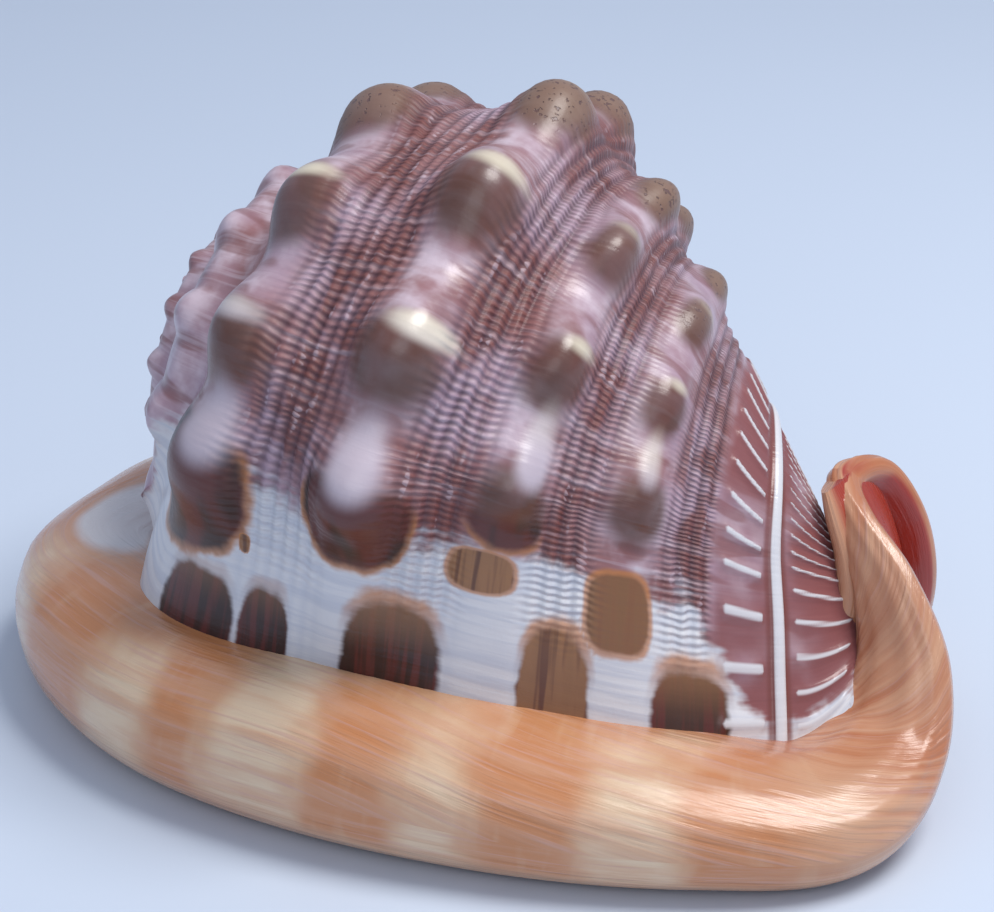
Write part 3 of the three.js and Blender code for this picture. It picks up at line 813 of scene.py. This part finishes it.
def body_material():
    g = Graph("sculptured_whorl")
    deg, run, x = g.parts("coil", 100.0)
    cap, core, high = g.parts("knob")
    depth, tan, pale = g.parts("mark")
    cords, crest, line = g.parts("relief")
    spot = g.place()
    broad = g.noise(spot, 55.0, 2.0)
    middle = g.noise(spot, 190.0, 3.0)
    fine = g.noise(spot, 1500.0, 3.0)
    coil = g.vector(g.times(deg, 0.05), g.times(run, 0.16))
    patch = g.noise(coil, 1.0, 2.0)
    growth_line = g.noise(g.vector(g.times(deg, 0.55), g.times(run, 0.04)), 1.0, 3.0)
    wander = g.noise(g.vector(g.times(deg, 0.07), g.times(run, 0.2)), 1.0, 1.0)
    wander = g.times(wander, 13.0)
    cord = g.ripple(run, CORD_PITCH)
    wrinkle = g.ripple(deg, 1.3, wander)
    front = g.step(x, 43.5, 46.0)
    above = g.step(deg, -9.0, 1.0)
    ridged = g.times(cords, above)
    bead = g.calc("POWER", g.times(g.add(cord, 0.3), g.add(wrinkle, 0.4)), 0.6)
    # mauve keels and bands of red-brown beads, with painted shade in the grooves between the
    # beads and painted highlights on some bead crests
    ground = g.blend(g.step(broad, 0.35, 0.62), LILAC, PINK_BROWN)
    ground = g.blend(g.times(g.less(cords), g.step(middle, 0.35, 0.75)), ground, LILAC_PALE)
    red = g.times(g.step(patch, 0.42, 0.58), g.times(cords, 0.88))
    ground = g.blend(red, ground, RED_BROWN)
    bands = g.noise(g.vector(g.times(deg, 0.16), g.times(run, 0.09)), 1.0, 1.0)
    ground = g.blend(g.times(g.step(bands, 0.52, 0.62), 0.55), ground, RED_BROWN)
    ground = g.blend(g.times(g.step(growth_line, 0.5, 0.72), 0.42), ground, LILAC_PALE)
    uneven_depth = g.step(middle, 0.2, 0.6)
    # painted shade: the grooves between the beads darkened where the bead relief is low
    painted_groove_shade = g.times(g.times(ridged, uneven_depth), g.calc("SUBTRACT", 1.08, bead))
    ground = g.blend(g.calc("MAXIMUM", painted_groove_shade, 0.0), ground, GROOVE_SHADE)
    # painted highlight: paler glints on the crests of some beads
    bead_crest_glint = g.times(ridged, g.step(bead, 0.6, 0.9))
    painted_glints = g.times(g.step(g.noise(coil, 3.1, 1.0), 0.6, 0.7), bead_crest_glint)
    ground = g.blend(g.times(painted_glints, 0.45), ground, LILAC_PALE)
    ground = g.blend(g.times(front, g.step(broad, 0.2, 0.5)), ground, FLAT_RED)
    # bluish white zone above the lip
    white = g.blend(g.times(g.step(growth_line, 0.42, 0.62), 0.6), WHITE, WHITE_GREY)
    # painted shade: greyer in the troughs between the cords
    white = g.blend(g.times(g.times(cords, g.less(cord)), 0.3), white, WHITE_GREY)
    ragged = g.calc("MULTIPLY_ADD", g.calc("SUBTRACT", middle, 0.5), 0.5, pale)
    ragged = g.calc("MULTIPLY_ADD", g.calc("SUBTRACT", growth_line, 0.5), 0.35, ragged)
    zone = g.step(ragged, 0.42, 0.62)
    ground = g.blend(zone, ground, white)
    # knobs: dark caps with light cores, the cores partly pale shell and partly a painted
    # highlight on the knob's upper side; worn and pitted on the top of the shell, with painted
    # shade in the pits
    capped = g.calc("MULTIPLY_ADD", g.calc("SUBTRACT", middle, 0.5), 0.35, cap)
    low = g.step(pale, 0.12, 0.3)
    dark = g.blend(g.step(patch, 0.42, 0.56), DARK_BROWN, MAROON)
    dark = g.blend(g.times(g.less(low), 0.7), dark, OLIVE)
    rim = g.times(g.step(capped, -0.06, 0.06), g.step(pale, 0.25, 0.45))
    ground = g.blend(g.times(rim, 0.85), ground, ORANGE_EDGE)
    strength = g.calc("MULTIPLY_ADD", low, 0.12, 0.86)
    spread = g.node("ShaderNodeMix", {0: low, 2: 0.5, 3: 0.18})
    fill = g.step(capped, -0.02, spread)
    ground = g.blend(g.times(fill, strength), ground, dark)
    # the knob's light core: partly pale shell colour, partly a painted highlight
    crown = g.blend(g.step(deg, 44.0, 26.0), CREAM, KNOB_WHITE)
    core_highlight = g.times(g.step(core, 0.28, 0.8), g.less(g.times(high, 0.75)))
    ground = g.blend(g.times(core_highlight, 0.92), ground, crown)
    bare = g.step(g.add(capped, g.times(core, 0.5)), 0.1, 0.7)
    worn = g.times(g.step(deg, 62.0, 92.0), g.times(bare, 0.75))
    # the worn knobs are real wear; the pits in them are darkened with painted shade
    pits = g.step(g.noise(spot, 1100.0, 2.0), 0.6, 0.68)
    ground = g.blend(worn, ground, g.blend(g.times(pits, 0.7), WORN_OLIVE, GROOVE_SHADE))
    # dark blotches, edged in blue-grey below and in orange above
    stained = g.calc("MULTIPLY_ADD", g.calc("SUBTRACT", middle, 0.5), 0.22, depth)
    stained = g.calc("MULTIPLY_ADD", g.calc("SUBTRACT", growth_line, 0.5), 0.12, stained)
    upper_edge = g.step(deg, -15.0, -4.0)
    fringe = g.blend(upper_edge, BLUE_GREY, ORANGE_EDGE)
    fringe_strength = g.calc("MULTIPLY_ADD", upper_edge, 0.7, 0.08)
    ground = g.blend(g.times(g.step(stained, -0.1, 0.03), fringe_strength), ground, fringe)
    streaks = g.noise(g.vector(g.times(deg, 0.04), g.times(run, 0.7)), 1.0, 2.0)
    stain = g.blend(g.step(streaks, 0.4, 0.62), DARK_BROWN, MAROON)
    stain = g.blend(g.times(g.step(deg, -16.0, -5.0), 0.7), stain, TAN)
    stain = g.blend(tan, stain, g.blend(g.step(streaks, 0.45, 0.65), TAN, OLIVE))
    ground = g.blend(g.step(stained, 0.02, 0.16), ground, stain)
    # ribs and the white line at the canal end
    ground = g.blend(g.times(g.step(crest, 0.55, 0.9), 0.92), ground, WHITE)
    beside = g.step(g.calc("ABSOLUTE", g.calc("SUBTRACT", x, LINE_AT)), 1.7, 1.1)
    ground = g.blend(g.times(g.times(beside, front), 0.75), ground, RED_BROWN)
    ground = g.blend(g.step(line, 0.35, 0.65), ground, WHITE)
    soft_cord = g.times(cord, ridged)
    height = g.add(g.times(soft_cord, 0.35), g.times(g.times(wrinkle, ridged), 0.5))
    height = g.add(height, g.add(g.times(fine, 0.05), g.times(growth_line, 0.25)))
    height = g.calc("SUBTRACT", height, g.times(g.times(pits, worn), 0.5))
    rough = g.add(g.times(worn, 0.2), g.add(g.times(ridged, 0.3), g.times(fine, 0.1)))
    return g.finish(ground, g.add(rough, 0.26), height, 0.42, 0.12)


def lip_material():
    g = Graph("glossy_lip")
    along, around, orange = g.parts("lip")
    canal, inner, under = g.parts("canal")
    spot = g.place()
    broad = g.noise(spot, 38.0, 3.0)
    soft = g.noise(spot, 90.0, 3.0)
    fine = g.noise(spot, 1300.0, 2.0)
    streak_at = g.vector(g.times(along, 5.0), g.times(around, 130.0))
    streak = g.noise(streak_at, 1.0, 4.0, 0.6)
    wide_streak = g.noise(g.vector(g.times(along, 4.0), g.times(around, 34.0)), 1.0, 3.0)
    cross = g.noise(g.vector(g.times(along, 30.0), g.times(around, 6.0)), 1.0, 2.0)
    mottled = g.add(orange, g.times(g.calc("SUBTRACT", broad, 0.5), 2.2))
    mottled = g.add(mottled, g.times(g.calc("SUBTRACT", soft, 0.5), 0.7))
    ground = g.blend(g.step(mottled, 0.1, 1.0), LIP_CREAM, LIP_ORANGE)
    ground = g.blend(g.times(g.step(wide_streak, 0.42, 0.66), 0.65), ground, PEACH)
    ground = g.blend(g.times(g.step(streak, 0.5, 0.68), 0.5), ground, LIP_PINK)
    ground = g.blend(g.times(g.step(cross, 0.55, 0.75), 0.2), ground, LIP_CREAM)
    walls = g.blend(g.step(wide_streak, 0.35, 0.65), CANAL_ORANGE, PEACH)
    ground = g.blend(g.times(canal, 0.85), ground, walls)
    ground = g.blend(g.times(g.times(canal, g.step(streak, 0.52, 0.7)), 0.45), ground, LIP_PINK)
    stain = g.add(g.parts("stain")[0], g.times(g.calc("SUBTRACT", soft, 0.5), 1.2))
    ground = g.blend(g.times(g.step(stain, -1.6, -0.2), 0.9), ground, WHITE)
    stripes = g.step(g.ripple(around, 2.6, g.times(broad, 3.0)), 0.3, 0.5)
    ground = g.blend(g.times(g.step(stain, 0.0, 0.35), stripes), ground, OLIVE)
    under = g.times(g.times(under, 0.85), g.less(canal))
    ground = g.blend(under, ground, g.blend(broad, SALMON, LIP_CREAM))
    ground = g.blend(g.times(inner, 0.95), ground, CANAL_RED)
    height = g.add(g.times(streak, 0.35), g.add(g.times(wide_streak, 1.2), g.times(fine, 0.04)))
    rough = g.add(g.times(fine, 0.08), g.times(streak, 0.08))
    return g.finish(ground, g.add(rough, 0.16), height, 0.45, 0.4)


def canal_material():
    g = Graph("canal_floor")
    v, u, red = g.parts("lip")
    streak = g.noise(g.vector(g.times(u, 60.0), g.times(v, 2.0)), 1.0, 3.0)
    ground = g.blend(red, PEACH, CANAL_RED)
    ground = g.blend(g.times(streak, 0.3), ground, CANAL_ORANGE)
    return g.finish(ground, g.add(g.times(streak, 0.15), 0.2), streak, 0.3)


def shield_material():
    g = Graph("glossy_shield")
    x, y, below = g.parts("lip", 100.0)
    spot = g.place()
    broad = g.noise(spot, 50.0, 3.0)
    fold = g.noise(g.vector(g.times(x, 0.5), g.times(y, 0.09)), 1.0, 2.0)
    ground = g.blend(g.step(broad, 0.35, 0.7), SALMON, LIP_ORANGE)
    near = g.step(y, -22.0, -2.0)
    folds = g.times(g.step(fold, 0.5, 0.62), g.times(g.less(near), g.step(below, 40.0, 60.0)))
    ground = g.blend(g.times(folds, 0.85), ground, WHITE)
    height = g.add(g.times(folds, 0.8), g.times(broad, 0.3))
    return g.finish(ground, g.add(g.times(broad, 0.12), 0.14), height, 0.8, 0.5)


def opening_material():
    g = Graph("toothed_opening")
    crest, deep, _ = g.parts("slot")
    broad = g.noise(g.place(), 120.0, 2.0)
    ground = g.blend(g.step(crest, 0.45, 0.8), g.blend(broad, ORANGE_EDGE, INSIDE), WHITE)
    ground = g.blend(g.step(deep, 0.35, 0.95), ground, g.blend(broad, INSIDE, PEACH))
    return g.finish(ground, g.add(g.times(broad, 0.15), 0.22), broad, 0.2)


def make_shell():
    lip, shield = lip_material(), shield_material()
    opening = opening_material()
    shell = body_piece(body_material())
    combine(shell, roll_piece(lip), "UNION")
    combine(shell, neck_piece(canal_material()), "UNION")
    combine(shell, plate_piece(shield), "UNION")
    combine(shell, slot_piece(opening), "DIFFERENCE")
    combine(shell, hollow_piece(opening), "DIFFERENCE")
    mesh = shell.data
    mesh.polygons.foreach_set("use_smooth", [True] * len(mesh.polygons))
    mesh.set_sharp_from_angle(angle=SHARP_ANGLE)
    shell.name = "shell"
    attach(shell, "root")
    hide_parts("helmet_shell")


# ---- floor and light ----
FLOOR_HALF = 3.0
FLOOR_DROP = 0.2 * MM
FLOOR_COLOUR = (0.60, 0.68, 0.80, 1)
FLOOR_PALE = (0.66, 0.73, 0.84, 1)
SKY_COLOUR = (0.62, 0.72, 0.92, 1)


def make_floor():
    mesh = bpy.data.meshes.new("floor")
    corners = [
        (side * FLOOR_HALF, end * FLOOR_HALF, -FLOOR_DROP)
        for side, end in ((-1, -1), (1, -1), (1, 1), (-1, 1))
    ]
    mesh.from_pydata(corners, [], [(0, 1, 2, 3)])
    g = Graph("pale_floor")
    soft = g.noise(g.place(), 6.0, 2.0)
    colour = g.blend(g.times(soft, 0.15), FLOOR_COLOUR, FLOOR_PALE)
    mesh.materials.append(g.finish(colour, g.add(g.times(soft, 0.1), 0.5), soft, 0.05, 0.0))
    floor = bpy.data.objects.new("floor", mesh)
    bpy.context.scene.collection.objects.link(floor)


def make_light(name, place_at, size, power, colour):
    data = bpy.data.lights.new(name, "AREA")
    data.shape = "DISK"
    data.size = size
    data.energy = power
    data.color = colour
    lamp = bpy.data.objects.new(name, data)
    lamp.location = place_at
    lamp.rotation_euler = Vector(place_at).to_track_quat("Z", "Y").to_euler()
    bpy.context.scene.collection.objects.link(lamp)


def make_lights():
    make_light("key", (0.35, 0.1, 0.8), 0.45, 6.0, (1.0, 0.97, 0.94))
    make_light("front", (0.3, -0.8, 0.6), 0.7, 1.6, (0.95, 0.97, 1.0))
    world = bpy.data.worlds.new("studio")
    world.use_nodes = True
    background = world.node_tree.nodes["Background"]
    background.inputs["Color"].default_value = SKY_COLOUR
    background.inputs["Strength"].default_value = 0.55
    bpy.context.scene.world = world
    bpy.context.scene.view_settings.view_transform = "Standard"


make_shell()
make_floor()
make_lights()
